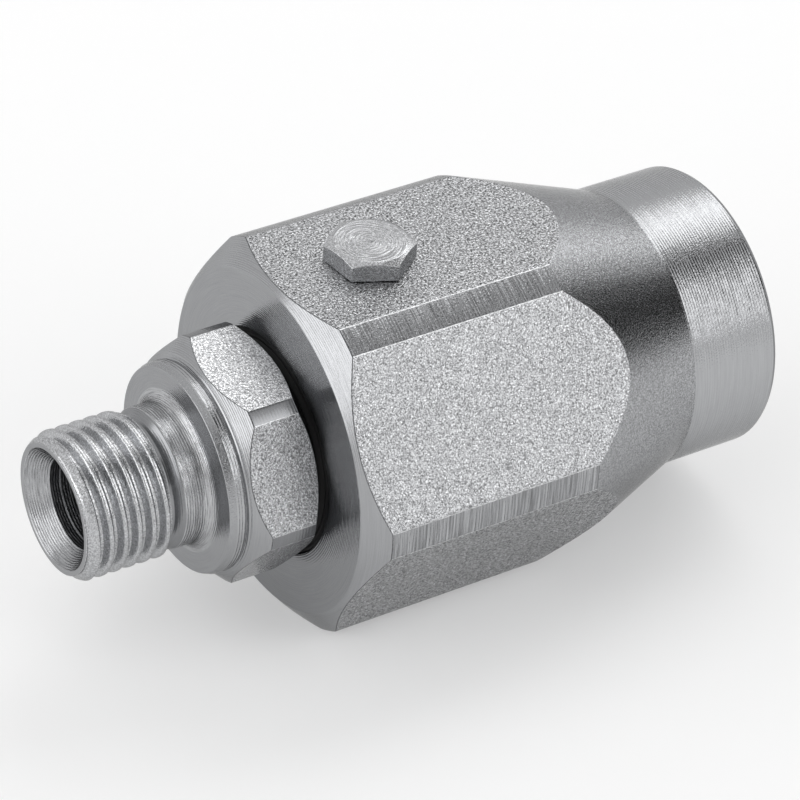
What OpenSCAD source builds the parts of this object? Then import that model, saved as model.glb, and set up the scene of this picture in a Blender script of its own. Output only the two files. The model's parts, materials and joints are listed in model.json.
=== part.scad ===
// Straight swivel joint for a hydraulic line.
// A stud spindle turns on one row of balls inside a hexagonal housing.
// Millimetres. +X is the common axis and leaves the female port; the stud points to -X.
// The origin lies on the axis where the core wall of the female port meets its countersink.
// +Z is up through the filler plug.

/* [Housing] */
// Length of the housing, from the front face to the port mouth
housing_len = 45; // [42:0.5:60]
// Width across the flats of the housing hexagon
housing_af = 32; // [30:0.5:36]
// Diameter to which the corners of the housing hexagon are turned
housing_corner_d = 35.5; // [34:0.25:36.5]
// Diameter of the flat turned face at the front of the housing
front_face_d = 31.1; // [26:0.1:31.8]
// Length of the turned chamfer at the front of the housing
front_chamfer_len = 1.76; // [0.8:0.02:3]
// Distance from the front face to the rear end of the full hexagon corners
hex_end = 22.7; // [20:0.1:26]
// Distance from the front face to the foot of the rear cone
cone_end = 36.1; // [32:0.1:38]
// Diameter of the rear cylinder
rear_d = 25.9; // [22:0.1:29]
// Size of the chamfer at the rear rim
rear_chamfer = 0.4; // [0.1:0.05:1]

/* [Female port] */
// Core diameter of the female port thread
port_core_d = 11.445; // [9.8:0.005:12]
// Diameter of the countersink at the port mouth
port_mouth_d = 13.6; // [12.2:0.1:15]
// Depth of the cylindrical drilling of the port
port_depth = 14; // [11:0.5:15]
// Full angle of the drill point at the bottom of the port
port_point_angle = 118; // [90:1:140]
// Diameter of the passage between the port and the spindle
passage_d = 8; // [5:0.1:9]

/* [Stud] */
// Distance from the housing face to the tip of the stud
stud_reach = 20.7; // [18:0.1:30]
// Outside diameter of the stud thread
thread_d = 13.157; // [12.7:0.001:14]
// Outside diameter of the lip at the tip of the stud
lip_d = 11.7; // [11.4:0.05:12.4]
// Length of the lead-in chamfer at the tip of the stud
lead_in_len = 1.1; // [0.5:0.05:2]
// Diameter of the mouth of the seat cone
seat_mouth_d = 10.88; // [9.5:0.02:11]
// Depth of the seat cone
seat_depth = 1.86; // [1:0.02:3]
// Diameter of the bore just behind the seat cone
seat_bore_d = 8; // [7.6:0.1:9]
// Length of the bore just behind the seat cone
seat_bore_len = 0.8; // [0.2:0.1:3]
// Diameter of the through-bore of the spindle
bore_d = 7.5; // [4:0.1:7.5]
// Length of the thread relief behind the stud thread
relief_len = 1.1; // [0.8:0.05:2]
// Diameter of the thread relief
relief_d = 10.9; // [10.4:0.05:11.4]
// Diameter of the plain shank between relief and collar
shank_d = 12.6; // [11.5:0.05:13]
// Length of the plain shank
shank_len = 2.65; // [1.6:0.05:4]
// Radius of the fillet between shank and collar face
shank_fillet = 1.1; // [0.3:0.05:1.5]

/* [Spindle hexagon] */
// Width across the flats of the spindle hexagon
spindle_af = 20; // [19.4:0.1:21]
// Diameter to which the corners of the spindle hexagon are turned
spindle_corner_d = 22.3; // [21.6:0.1:22.8]
// Turn of the spindle hexagon against the housing hexagon, in degrees
spindle_turn = 7.8; // [0:0.1:60]
// Diameter of the round collar in front of the spindle hexagon
collar_d = 18.9; // [17:0.1:19.2]
// Distance from the housing face to the front of the collar
collar_front = 8.9; // [7:0.1:11]
// Length of the cylindrical rim of the collar
collar_rim = 1.2; // [0.5:0.1:1.4]
// Depth of the fine groove between collar rim and hexagon chamfer
collar_groove = 0.2; // [0.05:0.05:0.4]
// Width of the fine groove between collar rim and hexagon chamfer
collar_groove_w = 0.3; // [0.15:0.05:0.5]
// Gap between the rear face of the spindle hexagon and the housing face
hex_gap = 0.5; // [0.3:0.1:1]
// Diameter of the turned rear face of the spindle hexagon
hex_rear_d = 19.5; // [18:0.1:19.9]

/* [Ball race] */
// Diameter of one ball
ball_d = 3; // [2.5:0.05:3.1]
// Least gap between neighbouring balls; the row holds as many balls as fit
ball_gap = 0.04; // [0.02:0.01:0.3]
// Distance from the housing face to the ball row and the filler plug
race_x = 9.5; // [8.6:0.1:10.5]
// Free play between a ball and each raceway groove
race_play = 0.04; // [0.02:0.01:0.08]

/* [Filler plug] */
// Width across the flats of the plug head
plug_af = 7; // [6:0.1:8]
// Height of the plug head
plug_head_h = 1.9; // [1.2:0.1:3]
// Angle by which the plug head stands turned, in degrees
plug_turn = 36; // [0:1:60]
// Thread diameter of the plug
plug_thread_d = 4; // [3.6:0.1:5]
// Diameter of the wire of the plug seal ring
plug_ring_wire = 0.8; // [0.6:0.05:0.9]

/* [Seals and guides] */
// Radial width of the wiper recess between the main journal and its outer wall
wiper_w = 1.45; // [1.2:0.05:2]
// Depth of the wiper recess
wiper_depth = 2.6; // [2:0.1:3]
// Diameter of the main journal of the spindle
journal_d = 17.5; // [16.5:0.1:17.5]
// Length of the main journal inside the housing
journal_len = 16.2; // [15.8:0.1:17]
// Distance from the housing face to the middle of the grease O-ring
grease_ring_x = 4.9; // [4:0.1:6]
// Wire diameter of the grease O-ring
grease_ring_wire = 1.4; // [1:0.1:1.8]
// Distance from the housing face to the middle of the guide ring
guide_ring_x = 13.6; // [13.2:0.1:14.2]
// Width of the guide ring
guide_ring_w = 2.6; // [1.5:0.1:3]
// Thickness of the guide ring
guide_ring_t = 1; // [0.6:0.1:1.4]
// Diameter of the seal journal of the spindle
seal_journal_d = 15; // [14.6:0.1:15.4]
// Wire diameter of the main O-ring
main_ring_wire = 2.2; // [1.8:0.1:2.4]
// Width of each back-up ring
back_up_w = 1.2; // [0.8:0.1:1.4]
// Distance from the end of the main journal to the seal groove
seal_land = 1.4; // [1:0.1:2]
// Diameter of the pilot at the rear end of the spindle
pilot_d = 12; // [11.4:0.1:12.4]
// Length of the pilot
pilot_len = 3.4; // [2.5:0.1:3.6]
// Outside diameter of the pilot bush
bush_d = 14.6; // [14:0.1:14.8]
// Running clearance on radius between turning pieces
run_clear = 0.05; // [0.02:0.01:0.08]
// Seating clearance on radius between pieces that rest on each other
seat_clear = 0.02; // [0.01:0.01:0.05]

/* [Hidden] */
$fn = 96;
eps = 0.01;

mouth_x = (port_mouth_d - port_core_d) / 2;
face_x = mouth_x - housing_len;
hex_in_r = housing_af / 2;
corner_r = housing_corner_d / 2;
rear_r = rear_d / 2;

bore_r = journal_d / 2 + run_clear;
seal_bore_r = seal_journal_d / 2 + run_clear;
orbit_r = (journal_d / 2 + bore_r) / 2;
groove_r = ball_d / 2 + race_play;
ball_count = floor(180 / asin((ball_d + ball_gap) / 2 / orbit_r));
wiper_r = journal_d / 2 + wiper_w;

tip_x = face_x - stud_reach;
thread_start_x = tip_x + lead_in_len;
collar_x = face_x - collar_front;
shank_x = collar_x - shank_len;
relief_x = shank_x - relief_len;
hex_rear_x = face_x - hex_gap;
spindle_in_r = spindle_af / 2;
spindle_corner_r = spindle_corner_d / 2;
collar_r = collar_d / 2;

step_x = face_x + journal_len;
groove_x = step_x + seal_land;
groove_len = main_ring_wire + 2 * back_up_w + 6 * seat_clear + 0.2;
seal_floor_r = seal_bore_r - main_ring_wire - 2 * seat_clear;
seal_end_x = groove_x + groove_len + seal_land;
pilot_end_x = seal_end_x + pilot_len;
bush_start_x = seal_end_x + 2 * run_clear;
bush_len = pilot_len - 2 * run_clear;
pocket_end_x = bush_start_x + bush_len + 4 * run_clear;

port_bottom_x = mouth_x - port_depth;
point_len = (port_core_d - passage_d) / 2 / tan(port_point_angle / 2);

plug_r = plug_thread_d / 2;
plug_bottom_r = orbit_r + 0.35;
ring_seat_r = plug_r + plug_ring_wire + 3 * seat_clear;
ring_seat_h = plug_ring_wire + 2 * seat_clear;

BALLS = [for (i = [1 : ball_count]) str("ball_", i < 10 ? "0" : "", i)];

// Solid of revolution about the X axis from a profile drawn as [x, radius]
module turned() {
    rotate([0, 90, 0])
        rotate([0, 0, 180])
            rotate_extrude()
                rotate([0, 0, 90])
                    mirror([0, 1])
                        children();
}

// Plain cylinder along X from x0 to x1
module bar(x0, x1, r) {
    translate([x0, 0, 0])
        rotate([0, 90, 0])
            cylinder(h = x1 - x0, r = r);
}

// Hexagonal bar along X with one flat towards +Z
module hex_bar(x0, x1, in_r) {
    translate([x0, 0, 0])
        rotate([0, 90, 0])
            rotate([0, 0, 30])
                cylinder(h = x1 - x0, r = in_r / cos(30), $fn = 6);
}

// Ring of round section about the X axis
module wire_ring(x, circle_r, wire_r) {
    turned()
        translate([x, circle_r])
            circle(r = wire_r, $fn = 48);
}

// Ring of rectangular section with small chamfers on all four edges
module flat_ring(x0, x1, r0, r1, c) {
    turned()
        polygon([
            [x0 + c, r0], [x1 - c, r0], [x1, r0 + c], [x1, r1 - c],
            [x1 - c, r1], [x0 + c, r1], [x0, r1 - c], [x0, r0 + c]
        ]);
}

// Outer form of the housing: hexagon bar turned down at corners, front and rear
module housing_body() {
    intersection() {
        hex_bar(face_x - eps, mouth_x + eps, hex_in_r);
        turned()
            polygon([
                [face_x, 0], [face_x, front_face_d / 2],
                [face_x + front_chamfer_len, corner_r],
                [face_x + hex_end, corner_r],
                [face_x + cone_end, rear_r],
                [mouth_x - rear_chamfer, rear_r],
                [mouth_x, rear_r - rear_chamfer * 0.7],
                [mouth_x, 0]
            ]);
    }
}

// Stepped cavity of the housing, from the wiper recess to the port mouth
module housing_cavity() {
    turned()
        polygon([
            [face_x - 1, 0], [face_x - 1, wiper_r],
            [face_x + wiper_depth, wiper_r],
            [face_x + wiper_depth, bore_r],
            [step_x + 0.2, bore_r],
            [step_x + 0.2 + (bore_r - seal_bore_r) * 0.6, seal_bore_r],
            [seal_end_x, seal_bore_r],
            [seal_end_x, bush_d / 2],
            [pocket_end_x, bush_d / 2],
            [pocket_end_x, passage_d / 2],
            [port_bottom_x - point_len, passage_d / 2],
            [port_bottom_x, port_core_d / 2],
            [0, port_core_d / 2],
            [mouth_x, port_mouth_d / 2],
            [mouth_x + 1, port_mouth_d / 2 + 1],
            [mouth_x + 1, 0]
        ]);
}

// Tapped filling hole with the seat of the plug seal ring
module filling_hole() {
    translate([face_x + race_x, 0, 0]) {
        translate([0, 0, bore_r - 0.4])
            cylinder(h = hex_in_r - bore_r + 1.4, r = plug_r + seat_clear);
        translate([0, 0, hex_in_r - ring_seat_h])
            cylinder(h = ring_seat_h + 1, r = ring_seat_r);
    }
}

module housing() {
    color("#b9bcbf")
        difference() {
            housing_body();
            housing_cavity();
            wire_ring(face_x + race_x, orbit_r, groove_r);
            filling_hole();
        }
}

// Turned form of the whole spindle, from the stud tip to the end of the pilot.
// The filleted corner between shank and collar face is a block less a circle.
module spindle_profile() {
    fillet_x = collar_x - shank_fillet - seat_clear;
    fillet_y = shank_d / 2 + shank_fillet + seat_clear;
    front_x = collar_x + collar_rim;
    front_cone = spindle_corner_r - collar_r;
    rear_cone = spindle_corner_r - hex_rear_d / 2;
    difference() {
        polygon([
            [tip_x, 0], [tip_x, lip_d / 2],
            [thread_start_x, thread_d / 2],
            [relief_x, thread_d / 2],
            [relief_x, relief_d / 2],
            [shank_x, relief_d / 2],
            [shank_x, shank_d / 2 - 0.3],
            [shank_x + 0.3, shank_d / 2],
            [fillet_x, shank_d / 2],
            [fillet_x, fillet_y],
            [collar_x, fillet_y],
            [collar_x, collar_r - 0.15],
            [collar_x + 0.15, collar_r],
            [front_x, collar_r],
            [front_x + 0.1, collar_r - collar_groove],
            [front_x + collar_groove_w, collar_r - collar_groove],
            [front_x + collar_groove_w, collar_r + collar_groove_w],
            [front_x + front_cone, spindle_corner_r],
            [hex_rear_x - rear_cone, spindle_corner_r],
            [hex_rear_x, hex_rear_d / 2],
            [hex_rear_x, journal_d / 2],
            [step_x - 0.4, journal_d / 2],
            [step_x, journal_d / 2 - 0.4],
            [step_x, seal_journal_d / 2],
            [groove_x, seal_journal_d / 2],
            [groove_x, seal_floor_r],
            [groove_x + groove_len, seal_floor_r],
            [groove_x + groove_len, seal_journal_d / 2],
            [seal_end_x - 0.3, seal_journal_d / 2],
            [seal_end_x, seal_journal_d / 2 - 0.3],
            [seal_end_x, pilot_d / 2],
            [pilot_end_x - 0.4, pilot_d / 2],
            [pilot_end_x, pilot_d / 2 - 0.4],
            [pilot_end_x, 0]
        ]);
        translate([fillet_x, fillet_y])
            circle(r = shank_fillet);
    }
}

// Square groove cut into the journal
module journal_groove(x, w, depth) {
    turned()
        translate([x - w / 2, journal_d / 2 - depth])
            square([w, depth + 1]);
}

// Through-bore with the seat cone at the stud tip
module spindle_bore() {
    turned()
        polygon([
            [tip_x - 1, 0],
            [tip_x - 1, seat_mouth_d / 2 + (seat_mouth_d - seat_bore_d) / 2 / seat_depth],
            [tip_x + seat_depth, seat_bore_d / 2],
            [tip_x + seat_depth + seat_bore_len, seat_bore_d / 2],
            [tip_x + seat_depth + seat_bore_len + (seat_bore_d - bore_d) / 2, bore_d / 2],
            [pilot_end_x - 0.5, bore_d / 2],
            [pilot_end_x + 0.5, bore_d / 2 + 1],
            [pilot_end_x + 0.5, 0]
        ]);
}

module spindle() {
    color("#c4c6c8")
        difference() {
            intersection() {
                turned()
                    spindle_profile();
                rotate([spindle_turn, 0, 0])
                    hex_bar(tip_x - 1, pilot_end_x + 1, spindle_in_r);
            }
            wire_ring(face_x + race_x, orbit_r, groove_r);
            journal_groove(face_x + grease_ring_x, grease_ring_wire + 0.3, grease_ring_wire - run_clear);
            journal_groove(face_x + guide_ring_x, guide_ring_w + 4 * seat_clear, guide_ring_t);
            spindle_bore();
        }
}

// Black lip ring in the recess of the housing face
module wiper_seal() {
    x0 = face_x + 0.25;
    x1 = face_x + wiper_depth - seat_clear;
    r0 = journal_d / 2 + run_clear;
    r1 = wiper_r - seat_clear;
    color("#1b1b1c")
        turned()
            difference() {
                polygon([
                    [x0 - 0.35, r0], [x0 - 0.35, r0 + 0.25], [x0, r0 + 0.55], [x0, r1 - 0.15],
                    [x0 + 0.15, r1], [x1, r1], [x1, r0 + 0.25], [x0 + 1.1, r0 + 0.25], [x0 + 0.6, r0]
                ]);
                translate([x0, (r0 + r1) / 2 + 0.2])
                    circle(r = 0.16, $fn = 32);
            }
}

// Low hexagon-head screw, its tip hollowed to the ball raceway
module filler_plug() {
    head_r = plug_af / 2;
    color("#c9cbcc")
        difference() {
            translate([face_x + race_x, 0, 0]) {
                translate([0, 0, plug_bottom_r])
                    cylinder(h = hex_in_r - plug_bottom_r + 0.1, r = plug_r);
                translate([0, 0, hex_in_r])
                    rotate([0, 0, plug_turn])
                        intersection() {
                            cylinder(h = plug_head_h, r = head_r / cos(30), $fn = 6);
                            rotate_extrude()
                                polygon([
                                    [0, 0], [head_r * 1.06, 0], [head_r / cos(30), 0.12],
                                    [head_r / cos(30), plug_head_h - 0.45],
                                    [head_r * 0.92, plug_head_h], [0, plug_head_h]
                                ]);
                        }
            }
            wire_ring(face_x + race_x, orbit_r, groove_r);
        }
}

// Small ring that seals the plug head on the flat
module plug_seal_ring() {
    color("#262627")
        translate([face_x + race_x, 0, hex_in_r - ring_seat_h + plug_ring_wire / 2 + seat_clear])
            rotate_extrude()
                translate([plug_r + plug_ring_wire / 2 + seat_clear, 0])
                    circle(r = plug_ring_wire / 2, $fn = 32);
}

module grease_o_ring() {
    wire_r = (grease_ring_wire - run_clear) / 2 - seat_clear + run_clear / 2;
    color("#232324")
        wire_ring(face_x + grease_ring_x, bore_r - wire_r - seat_clear, wire_r);
}

module guide_ring() {
    floor_r = journal_d / 2 - guide_ring_t;
    w = guide_ring_w;
    color("#d9d2c0")
        difference() {
            flat_ring(face_x + guide_ring_x - w / 2, face_x + guide_ring_x + w / 2,
                floor_r + seat_clear, bore_r - seat_clear, 0.1);
            translate([face_x + guide_ring_x, 0, -journal_d / 2])
                rotate([0, 0, 30])
                    cube([2 * w, 0.5, journal_d], center = true);
        }
}

module main_o_ring() {
    color("#1f1f20")
        wire_ring(groove_x + groove_len / 2, (seal_floor_r + seal_bore_r) / 2, main_ring_wire / 2);
}

// Back-up ring; side is -1 at the front end and 1 at the rear end of the groove
module back_up_ring(side) {
    x_mid = groove_x + groove_len / 2 + side * (groove_len / 2 - back_up_w / 2 - seat_clear);
    color("#efeee8")
        flat_ring(x_mid - back_up_w / 2, x_mid + back_up_w / 2,
            seal_floor_r + seat_clear, seal_bore_r - seat_clear, 0.08);
}

module pilot_bush() {
    color("#b08a4a")
        flat_ring(bush_start_x, bush_start_x + bush_len,
            pilot_d / 2 + run_clear, bush_d / 2 - seat_clear, 0.2);
}

// One ball of the full row; the first stands half a step beside the plug
module ball(i) {
    color("#d8dadc")
        rotate([360 / ball_count * (i - 0.5), 0, 0])
            translate([face_x + race_x, 0, orbit_r])
                sphere(r = ball_d / 2, $fn = 48);
}

housing();
spindle();
wiper_seal();
filler_plug();
plug_seal_ring();
grease_o_ring();
guide_ring();
main_o_ring();
back_up_ring(-1);  // back_up_ring_front
back_up_ring(1);  // back_up_ring_rear
pilot_bush();
for (i = [1 : ball_count])
    ball(i);
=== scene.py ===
# %% [markdown]
# # A straight hydraulic swivel joint
#
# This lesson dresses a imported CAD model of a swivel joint. The part lets a hydraulic hose turn
# without twisting: a spindle with a threaded stud turns on a row of balls in a hexagonal housing.
# The CAD solids stay as the frame. Here the housing, the spindle and the filler plug are rebuilt as
# smooth surfaces with softened edges and real screw threads, and every piece gets the finish that
# the real one has.

# %% Load the frame
import json
import math
import bpy
import numpy as np
from mathutils import Matrix, Vector


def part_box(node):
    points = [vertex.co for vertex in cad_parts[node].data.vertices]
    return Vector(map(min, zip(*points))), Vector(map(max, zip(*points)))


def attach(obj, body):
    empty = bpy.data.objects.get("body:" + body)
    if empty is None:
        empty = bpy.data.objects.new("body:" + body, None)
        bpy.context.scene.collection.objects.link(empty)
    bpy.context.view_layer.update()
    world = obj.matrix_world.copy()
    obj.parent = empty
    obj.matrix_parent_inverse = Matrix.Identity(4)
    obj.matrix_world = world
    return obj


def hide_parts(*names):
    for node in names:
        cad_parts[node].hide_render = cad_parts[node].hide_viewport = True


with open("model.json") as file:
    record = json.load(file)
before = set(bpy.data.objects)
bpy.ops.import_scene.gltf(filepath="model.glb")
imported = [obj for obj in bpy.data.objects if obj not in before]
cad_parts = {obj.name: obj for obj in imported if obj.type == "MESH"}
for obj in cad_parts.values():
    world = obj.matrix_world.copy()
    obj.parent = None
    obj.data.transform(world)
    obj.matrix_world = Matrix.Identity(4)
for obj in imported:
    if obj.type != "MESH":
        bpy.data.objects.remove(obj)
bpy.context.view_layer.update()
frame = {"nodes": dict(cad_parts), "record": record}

# %% [markdown]
# The CAD says where everything is. Lengths below are in millimetres, because that is how a turner
# thinks of them, and one factor takes them to metres. The ends of the housing and of the spindle are
# read from the frame, so the dressed pieces stay where the solids are. The common axis is x: the
# stud points to -x, the port to +x, and the filler plug stands up along z.

# %% Places read from the frame
MM = 0.001


def reach(node):
    """Lowest and highest corner of a CAD node, in millimetres."""
    low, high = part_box(node)
    return np.array(low) / MM, np.array(high) / MM


housing_low, housing_high = reach("housing")
spindle_low, spindle_high = reach("spindle")
plug_low, plug_high = reach("filler_plug")
face_x, mouth_x = housing_low[0], housing_high[0]
tip_x, pilot_end_x = spindle_low[0], spindle_high[0]
flat_r, corner_r = -housing_low[2], housing_high[1]
plug_x = (plug_low[0] + plug_high[0]) / 2
floor_z = housing_low[2]
print(f"housing {face_x:.3f} to {mouth_x:.3f}, stud tip {tip_x:.3f}, half across flats {flat_r:.3f}")

# %% [markdown]
# The camera stands as for the photograph: in front of the stud and to one side, looking down at 36
# degrees through a long lens, which keeps parallel edges nearly parallel. It could be placed by eye,
# but the ellipses of the turned rims and the edges of the hexagon fix it much better, so its three
# angles, its distance and its aim are numbers that were fitted to them.

# %% Camera
azimuth, elevation, roll = (math.radians(a) for a in (-34.36, 36.17, -4.05))
distance = 358.4
focal_px, frame_px, sensor_mm = 4166.0, 800.0, 36.0
aim_px = (-134.16, 40.88)

back = np.array([math.sin(azimuth) * math.cos(elevation),
                 -math.cos(azimuth) * math.cos(elevation), math.sin(elevation)])
level_right = np.cross(-back, [0.0, 0.0, 1.0])
level_right /= np.linalg.norm(level_right)
level_down = np.cross(-back, level_right)
right = math.cos(roll) * level_right + math.sin(roll) * level_down
down = -math.sin(roll) * level_right + math.cos(roll) * level_down
stand = np.array([face_x, 0.0, 0.0]) + distance * back
stand -= (right * aim_px[0] + down * aim_px[1]) * distance / focal_px

camera_data = bpy.data.cameras.new("photo_camera")
camera_data.sensor_width = sensor_mm
camera_data.lens = sensor_mm * focal_px / frame_px
camera_data.clip_start = 0.01
camera_data.clip_end = 20.0
camera = bpy.data.objects.new("photo_camera", camera_data)
turn = Matrix([[right[i], -down[i], back[i]] for i in range(3)])
camera.matrix_world = Matrix.Translation(Vector(stand * MM)) @ turn.to_4x4()
bpy.context.scene.collection.objects.link(camera)
bpy.context.scene.camera = camera
print("lens", round(camera_data.lens, 1), "mm, camera at", np.round(stand, 1))

# %% [markdown]
# Every surface of this part is made on a lathe or is a flat of a hexagon bar. Modifiers such as Screw
# and Bevel could make it, but a thread on a hexagon with turned corners soon confuses them. So each
# piece is drawn as one sheet that is wrapped round the axis: its rows run along the outline, and its
# lines lie at fixed angles round it. The lines are close together where a flat meets a turned corner,
# because that edge has to be crisp, and far apart in the middle of a flat, where nothing happens.

# %% Angles round the axis
edge_deg = np.array([-1.1, -0.75, -0.5, -0.25, 0.0, 0.25, 0.5, 0.75, 1.1])
clear_deg, strip_step_deg, least_step_deg = 1.6, 1.5, 0.15
plain_lines = 13


def hexagon_angles(flat, corner, turned_deg):
    """Angles in radians round the axis, packed closely where a flat meets a turned corner.

    A flat meets the corner circle where cos(angle) = flat / corner, so lines of the sheet lie there.
    """
    meet = math.degrees(math.acos(flat / corner))
    plain = np.linspace(-meet + clear_deg, meet - clear_deg, plain_lines)
    strip_lines = max(3, int((60 - 2 * meet) / strip_step_deg))
    strip = np.linspace(meet + clear_deg, 60 - meet - clear_deg, strip_lines)
    one = np.concatenate([-meet + edge_deg, plain, meet + edge_deg, strip])
    whole = np.unique(np.round(np.concatenate([one + 60 * k for k in range(6)]) % 360, 3))
    spaced = np.append(np.diff(whole) > least_step_deg, True)
    return np.radians(whole[spaced] + turned_deg)


def off_middle(angles, turned_deg):
    """Degrees from the middle of the nearest flat, -30 to 30."""
    return (np.degrees(angles) - turned_deg + 30) % 60 - 30


def hexagon_radius(angles, flat, corner, turned_deg, soft):
    """Radius of a hexagon bar with turned corners: the smaller of two radii, blended over `soft`.

    flat / cos(angle from the flat's middle) is the flat, and `corner` is the turned circle. The
    blend is the smooth minimum (a + b - sqrt((a - b)^2 + soft^2)) / 2.
    """
    plane = flat / np.cos(np.radians(off_middle(angles, turned_deg)))
    return (plane + corner - np.sqrt((plane - corner) ** 2 + soft ** 2)) / 2


housing_angles = hexagon_angles(flat_r, corner_r, 0.0)
hexagon_top = hexagon_radius(housing_angles, flat_r, corner_r, 0.0, 0.045)
print(len(housing_angles), "lines run along the housing")

# %% [markdown]
# A machined edge is never a knife edge: it was broken with a file or in the plating drum, and it
# shows as a thin bright line. A Bevel modifier would cut the thread's edges too, so each corner of an
# outline is replaced by a small curve here, with a guard row on either side that keeps the surfaces
# next to it truly flat in the shading.

# %% Rounded outlines
guard_mm, fine_edge_mm = 0.05, 0.05
most_of_side = 0.42


def outline_rows(corners, count):
    """Rows of (x, radius) for a closed outline of corners, each rounded by a quadratic curve.

    A corner is (x, radius, soft, finish). Its x and radius are numbers or one value for each of the
    `count` angles, `soft` is how far the curve reaches on either side, and the finish holds from
    there to the next corner. A corner P between directions a and b becomes
    (1-t)^2 (P - s a) + 2 t (1-t) P + t^2 (P + s b). Returns the rows of x, the rows of radius, the
    finish of the surface after each row, and the number of each corner's first row.
    """
    xs = np.array([np.broadcast_to(np.asarray(c[0], float), (count,)) for c in corners])
    rs = np.array([np.broadcast_to(np.asarray(c[1], float), (count,)) for c in corners])
    points = np.stack([xs, rs])
    after = np.roll(points, -1, axis=1) - points
    length = np.maximum(np.linalg.norm(after, axis=0), 1e-9)
    onward = after / length
    inward = np.roll(onward, 1, axis=1)
    length_before = np.roll(length, 1, axis=0)
    rows, finish, first_row = [], [], []
    for i, (_, _, soft, kind) in enumerate(corners):
        first_row.append(len(rows))
        p, a, b = points[:, i], inward[:, i], onward[:, i]
        if soft <= 0:
            rows.append(p)
            finish.append(kind)
            continue
        s = np.minimum(soft, most_of_side * np.minimum(length[i], length_before[i]))
        g = np.minimum(guard_mm, 0.25 * s)
        steps = (0.0, 0.25, 0.5, 0.75, 1.0) if soft >= fine_edge_mm else (0.0, 0.5, 1.0)
        rows.append(p - (s + g) * a)
        rows += [(1 - t) ** 2 * (p - s * a) + 2 * t * (1 - t) * p + t ** 2 * (p + s * b)
                 for t in steps]
        rows.append(p + (s + g) * b)
        finish += [finish[-1] if finish else kind] * (len(steps) // 2 + 1)
        finish += [kind] * (len(steps) - len(steps) // 2 + 1)
    sheet = np.array(rows)
    return sheet[:, 0], sheet[:, 1], finish, first_row


def arc_corners(x, radius, wire, start_deg, end_deg, n, finish):
    """Corners along a circle of radius `wire` about (x, radius), for a ball groove or a fillet."""
    t = np.radians(np.linspace(start_deg, end_deg, n))
    return [(x + wire * math.cos(a), radius + wire * math.sin(a), 0, finish) for a in t]


print("a corner of 0.1 mm gets", len(outline_rows([(0, 1, 0.1, 0), (1, 1, 0, 0)], 1)[2]) - 1, "rows")

# %% [markdown]
# The sheet becomes a mesh with `foreach_set`: one array of points and one of four-cornered faces.
# The housing and the spindle have a hole right through them, so their last row joins the first, as on
# a ring. The plug has no hole, so each of its ends gets a small cap. The numbers of a row wrap round
# at its end, so no seam is left open. The signed volume, a sum over all faces, shows whether the
# faces look outwards; where it is negative, their corners are taken backwards.

# %% Wrapping a sheet round the axis
def wrap_sheet(name, along, radius, angles, finish, materials, upright_x=None):
    """Mesh of a sheet of rows round an axis: point = (along, -radius sin(angle), radius cos(angle)).

    With `upright_x` the axis is the vertical one through that x, and each end is closed by a flat
    cap; without it the last row joins the first. The volume, which must not be negative, is a sixth
    of the sum of p0 . (p1 x p2 + p2 x p3) over the four-cornered faces.
    """
    n, m = along.shape
    points = np.empty((n, m, 3))
    if upright_x is None:
        points[..., 0] = along
        points[..., 1] = -radius * np.sin(angles)
        points[..., 2] = radius * np.cos(angles)
    else:
        points[..., 0] = upright_x + radius * np.cos(angles)
        points[..., 1] = radius * np.sin(angles)
        points[..., 2] = along
    index = np.arange(n * m).reshape(n, m)
    below = np.roll(index, -1, axis=0)
    beside, below_beside = np.roll(index, -1, axis=1), np.roll(below, -1, axis=1)
    bands = n if upright_x is None else n - 1
    quads = np.stack([index, below, below_beside, beside], axis=-1)[:bands].reshape(-1, 4)
    flat_points = points.reshape(-1, 3) * MM
    p0, p1, p2, p3 = (flat_points[quads[:, k]] for k in range(4))
    volume = np.einsum("ij,ij->i", p0, np.cross(p1, p2) + np.cross(p2, p3)).sum() / 6
    caps = [] if upright_x is None else [index[0], index[-1][::-1]]
    if volume < 0:
        quads = quads[:, ::-1]
        caps = [cap[::-1] for cap in caps]
    corners = np.concatenate([quads.ravel(), *caps])
    sizes = np.array([4] * len(quads) + [len(cap) for cap in caps])
    cap_slots = [finish[0], finish[-1]][:len(caps)]
    slots = np.concatenate([np.repeat(finish[:bands], m), cap_slots]).astype(np.int32)
    mesh = bpy.data.meshes.new(name)
    mesh.vertices.add(len(flat_points))
    mesh.vertices.foreach_set("co", flat_points.ravel())
    mesh.loops.add(len(corners))
    mesh.loops.foreach_set("vertex_index", corners)
    mesh.polygons.add(len(sizes))
    mesh.polygons.foreach_set("loop_start", np.cumsum(sizes) - sizes)
    mesh.polygons.foreach_set("material_index", slots)
    mesh.polygons.foreach_set("use_smooth", np.ones(len(sizes), bool))
    for material in materials:
        mesh.materials.append(material)
    mesh.update(calc_edges=True)
    mesh.validate()
    piece = bpy.data.objects.new(name, mesh)
    bpy.context.scene.collection.objects.link(piece)
    print(f"{name}: {len(quads)} faces, {abs(volume) * 1e9:.0f} cubic mm")
    return piece


# %% [markdown]
# ## Finishes
#
# The steel is zinc plated and passivated clear, so its colour is a cool light grey, and everything
# that the eye reads is in the texture. A picture of steel could be wrapped round the part, but it
# would show its seams and have one size only. Nodes that work from the place on the piece have
# neither fault. One function below turns a colour as a painter picks it into the linear light that
# Blender counts in, one adds a node, and one starts a material.

# %% Helpers for materials
edge_tint = (0.62, 0.62, 0.62, 1.0)


def linear(hex_colour):
    """sRGB hex to linear colour: c / 12.92 below 0.04045, else ((c + 0.055) / 1.055) ^ 2.4."""
    srgb = np.array([int(hex_colour[i:i + 2], 16) / 255 for i in (1, 3, 5)])
    value = np.where(srgb <= 0.04045, srgb / 12.92, ((srgb + 0.055) / 1.055) ** 2.4)
    return (*value.tolist(), 1.0)


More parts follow.
